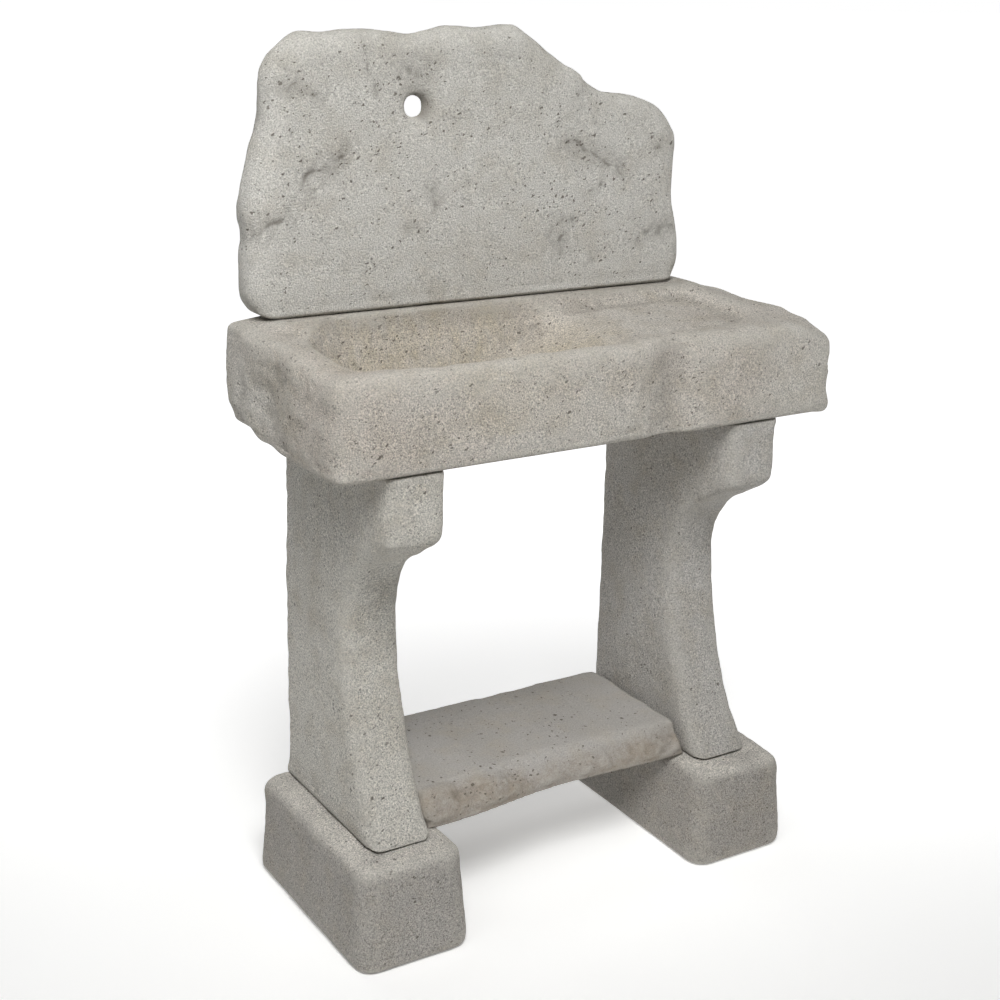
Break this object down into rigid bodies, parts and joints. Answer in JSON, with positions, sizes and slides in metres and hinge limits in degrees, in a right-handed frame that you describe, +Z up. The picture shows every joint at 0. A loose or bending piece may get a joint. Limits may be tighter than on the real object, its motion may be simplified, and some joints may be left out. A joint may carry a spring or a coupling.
{
  "type": "cast-stone garden fountain",
  "caption": "Free-standing cast-stone fountain: a wash basin with a bowl and a sloping drainer on corbelled legs, with a shelf below and a hewn back panel with a spout hole.",
  "frame": {"origin": "on the floor, at the middle of the overall box", "axes": "+Z up, +Y towards the wall behind, +X to the right of someone who stands in front"},
  "size_m": [0.8185, 0.3394, 1.2338],
  "materials": {
    "cast_stone": "matt sandy cast concrete with small open pits",
    "setting_mortar": "dull grey cement bed",
    "dowel_steel": "plain drawn rod",
    "waste_metal": "dulled cast brass",
    "waste_rubber": "matt black sheet rubber"
  },
  "bodies": {
    "root": {"left_foot": "cast_stone", "right_foot": "cast_stone", "left_leg": "cast_stone", "right_leg": "cast_stone", "shelf_slab": "cast_stone", "basin": "cast_stone", "back_panel": "cast_stone", "left_foot_bed": "setting_mortar", "right_foot_bed": "setting_mortar", "left_leg_bed": "setting_mortar", "right_leg_bed": "setting_mortar", "shelf_beds": "setting_mortar", "panel_bed": "setting_mortar", "left_foot_dowels": "dowel_steel", "right_foot_dowels": "dowel_steel", "left_leg_dowels": "dowel_steel", "right_leg_dowels": "dowel_steel", "panel_dowels": "dowel_steel", "waste_body": "waste_metal", "waste_washer": "waste_metal", "waste_backnut": "waste_metal", "waste_seal": "waste_rubber"}
  },
  "joints": []
}
